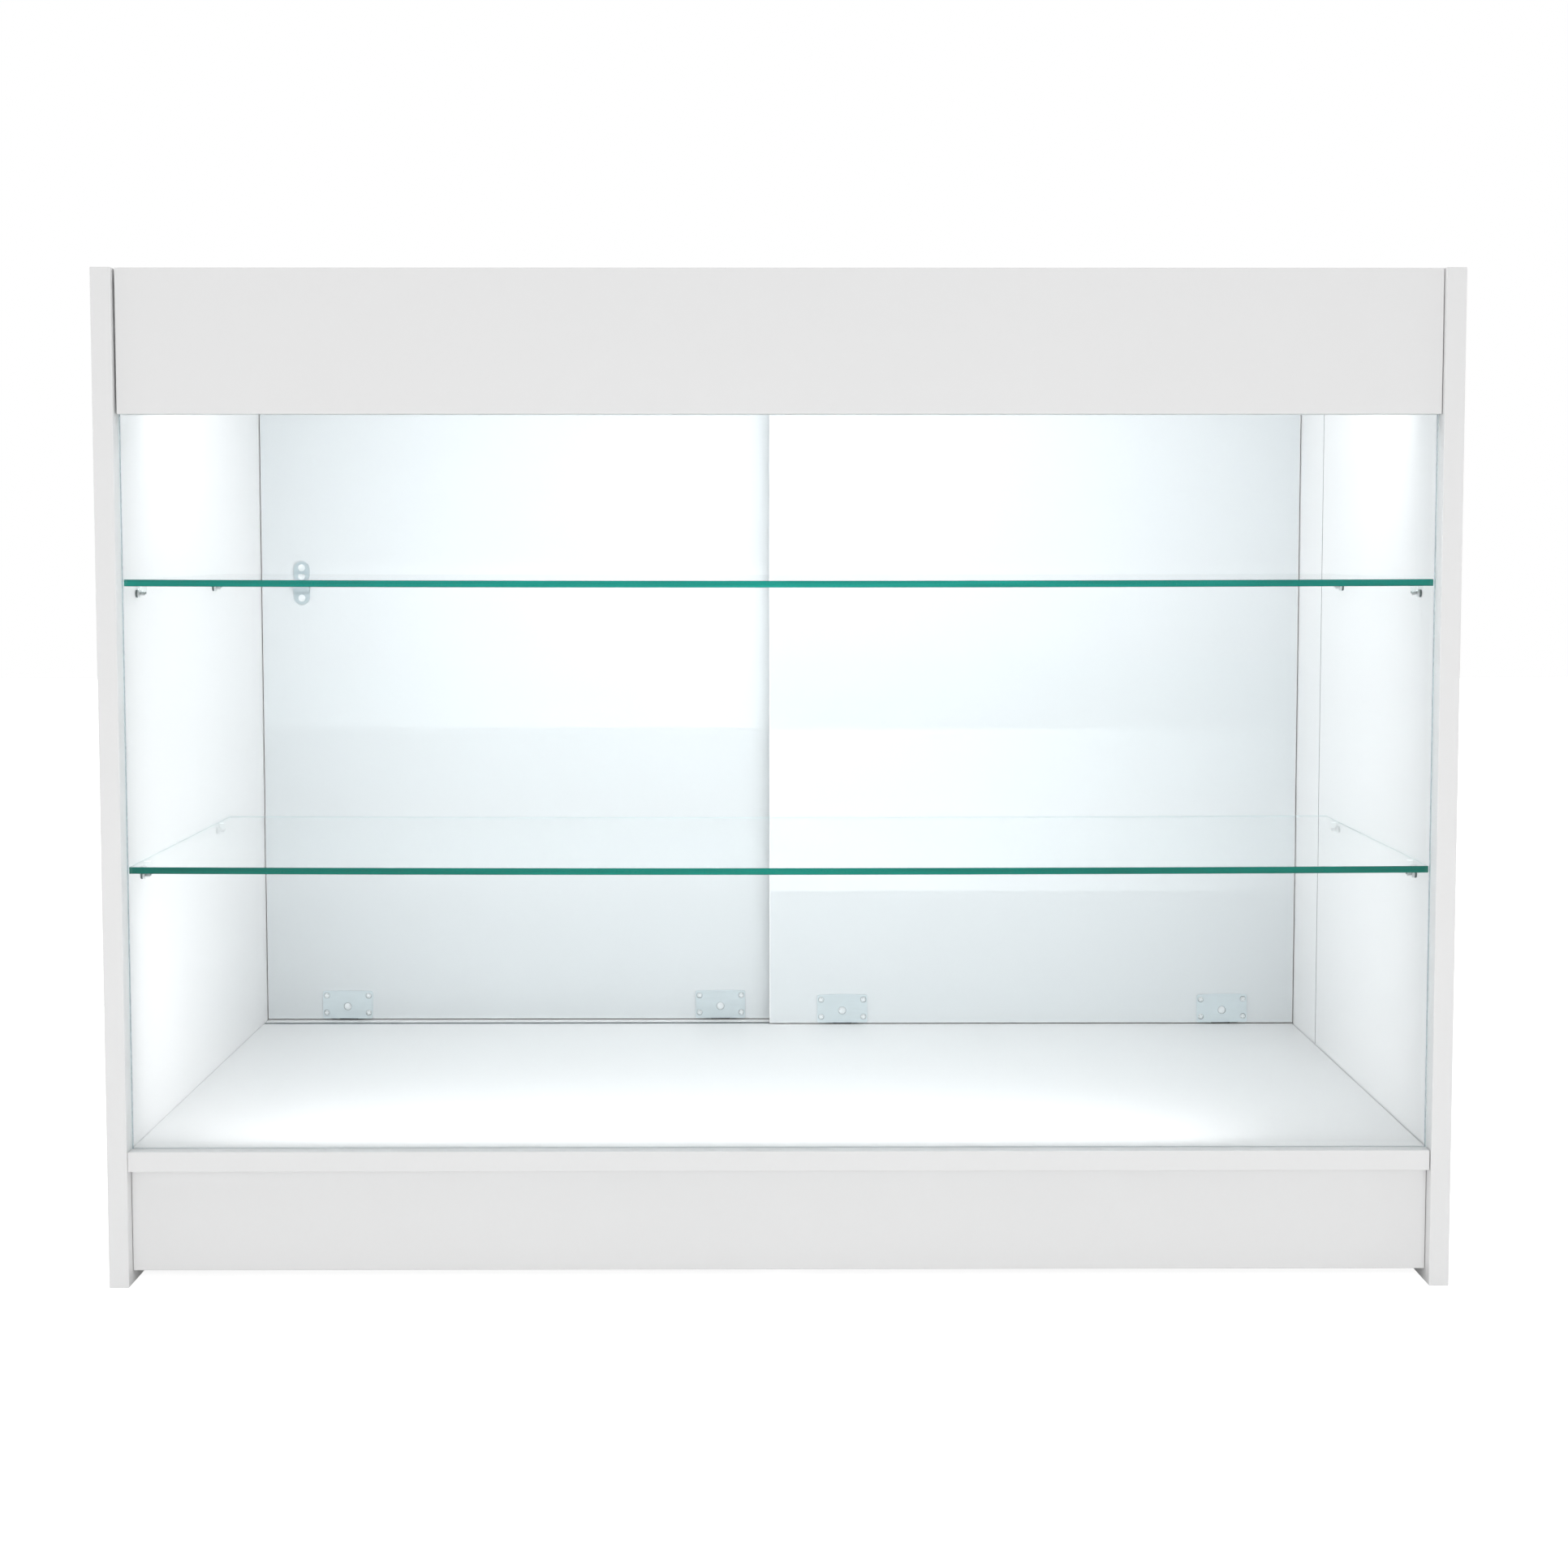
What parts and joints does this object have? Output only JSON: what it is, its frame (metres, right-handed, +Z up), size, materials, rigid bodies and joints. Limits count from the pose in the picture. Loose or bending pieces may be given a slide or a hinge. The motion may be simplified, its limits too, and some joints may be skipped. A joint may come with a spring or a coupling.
{
  "type": "glass display showcase",
  "caption": "White board display counter with a clear glass front, glass shelves, lit interior and sliding rear doors on rollers with a push lock.",
  "frame": {"origin": "on the floor, in the middle of the footprint", "axes": "+X to the right as the customer sees it, -Y towards the customer, +Z up"},
  "size_m": [1.2, 0.6, 0.905],
  "materials": {
    "board_white": "white melamine on particle board, fine matt grain, white edge band",
    "door_white": "white melamine on particle board, fine matt grain, white edge band",
    "front_glass": "clear float glass, polished edges",
    "shelf_glass": "clear float glass with a green polished front edge",
    "gasket": "soft pale grey glazing strip, matt",
    "pin_metal": "nickel-plated, bright",
    "pad_clear": "clear soft pad, glossy",
    "zinc_steel": "zinc-plated pressed steel, satin",
    "screw_steel": "zinc-plated steel, bright",
    "cam_metal": "die-cast zinc, dull",
    "white_plastic": "moulded white plastic, matt",
    "beech": "fluted beech, raw",
    "rail_aluminium": "extruded, natural anodised, satin",
    "wheel_acetal": "black acetal, satin",
    "guide_nylon": "natural white nylon, satin",
    "bush_brass": "turned brass",
    "pull_metal": "brushed stainless steel",
    "lock_chrome": "bright chrome plate",
    "plug_brass": "turned and polished brass",
    "light_board": "white circuit board with yellow phosphor chips",
    "light_diffuser": "opal acrylic, satin"
  },
  "bodies": {
    "carcass": {"side_panel_left": "board_white", "side_panel_right": "board_white", "worktop": "board_white", "fascia": "board_white", "deck": "board_white", "kick_board_front": "board_white", "kick_board_rear": "board_white", "deck_stretcher": "board_white", "cam_housings": "cam_metal", "cam_bolts": "screw_steel", "cam_caps": "white_plastic", "wooden_dowels": "beech", "corner_brackets": "zinc_steel", "bracket_screws": "screw_steel", "front_glass": "front_glass", "glass_gaskets": "gasket", "shelf_upper": "shelf_glass", "shelf_lower": "shelf_glass", "shelf_pins_upper": "pin_metal", "shelf_pins_lower": "pin_metal", "shelf_pads": "pad_clear", "bottom_rail_inner": "rail_aluminium", "bottom_rail_outer": "rail_aluminium", "top_track": "rail_aluminium", "track_screws": "screw_steel", "led_channel": "rail_aluminium", "led_strip": "light_board", "led_diffuser": "light_diffuser", "led_end_caps": "white_plastic", "led_clips": "zinc_steel", "led_driver": "white_plastic", "driver_screws": "screw_steel", "led_lead": "white_plastic", "cable_grommet": "white_plastic"},
    "door_left": {"door_left": "door_white", "roller_plates_left": "zinc_steel", "roller_screws_left": "screw_steel", "roller_axles_left": "screw_steel", "roller_bushes_left": "bush_brass", "top_guides_left": "guide_nylon", "finger_pull_left": "pull_metal", "lock_body": "zinc_steel", "lock_ring": "lock_chrome", "lock_screws": "screw_steel", "lock_spring": "screw_steel"},
    "door_right": {"door_right": "door_white", "roller_plates_right": "zinc_steel", "roller_screws_right": "screw_steel", "roller_axles_right": "screw_steel", "roller_bushes_right": "bush_brass", "top_guides_right": "guide_nylon", "finger_pull_right": "pull_metal", "strike_cup": "pull_metal"},
    "wheel_left_a": {"wheel_left_a": "wheel_acetal"},
    "wheel_left_b": {"wheel_left_b": "wheel_acetal"},
    "wheel_right_a": {"wheel_right_a": "wheel_acetal"},
    "wheel_right_b": {"wheel_right_b": "wheel_acetal"},
    "lock_bolt": {"lock_bolt": "lock_chrome"},
    "lock_plug": {"lock_plug": "plug_brass"}
  },
  "joints": [
    {"name": "door_left_slide", "type": "slide", "parent": "carcass", "child": "door_left", "axis": [1, 0, 0], "range_m": [0, 0.571]},
    {"name": "door_right_slide", "type": "slide", "parent": "carcass", "child": "door_right", "axis": [1, 0, 0], "range_m": [-0.571, 0]},
    {"name": "wheel_left_a_spin", "type": "hinge", "parent": "door_left", "child": "wheel_left_a", "pos_m": [-0.49, 0.284, 0.139], "axis": [0, 1, 0], "range_deg": [0, 1722]},
    {"name": "wheel_left_b_spin", "type": "hinge", "parent": "door_left", "child": "wheel_left_b", "pos_m": [-0.066, 0.284, 0.139], "axis": [0, 1, 0], "range_deg": [0, 1722]},
    {"name": "wheel_right_a_spin", "type": "hinge", "parent": "door_right", "child": "wheel_right_a", "pos_m": [0.072, 0.258, 0.139], "axis": [0, 1, 0], "range_deg": [-1722, 0]},
    {"name": "wheel_right_b_spin", "type": "hinge", "parent": "door_right", "child": "wheel_right_b", "pos_m": [0.5005, 0.258, 0.139], "axis": [0, 1, 0], "range_deg": [-1722, 0]},
    {"name": "lock_push", "type": "slide", "parent": "door_left", "child": "lock_bolt", "axis": [0, -1, 0], "range_m": [0, 0.007], "stiffness_N_per_m": 300, "springref_m": -0.004, "deforming": ["lock_spring"]},
    {"name": "lock_key_turn", "type": "hinge", "parent": "lock_bolt", "child": "lock_plug", "pos_m": [-0.536, 0.29, 0.6205], "axis": [0, -1, 0], "range_deg": [0, 90]}
  ],
  "couplings": [
    {"joint": "wheel_left_a_spin", "follows": "door_left_slide", "rad_per_m": 52.632},
    {"joint": "wheel_left_b_spin", "follows": "door_left_slide", "rad_per_m": 52.632},
    {"joint": "wheel_right_a_spin", "follows": "door_right_slide", "rad_per_m": 52.632},
    {"joint": "wheel_right_b_spin", "follows": "door_right_slide", "rad_per_m": 52.632}
  ]
}
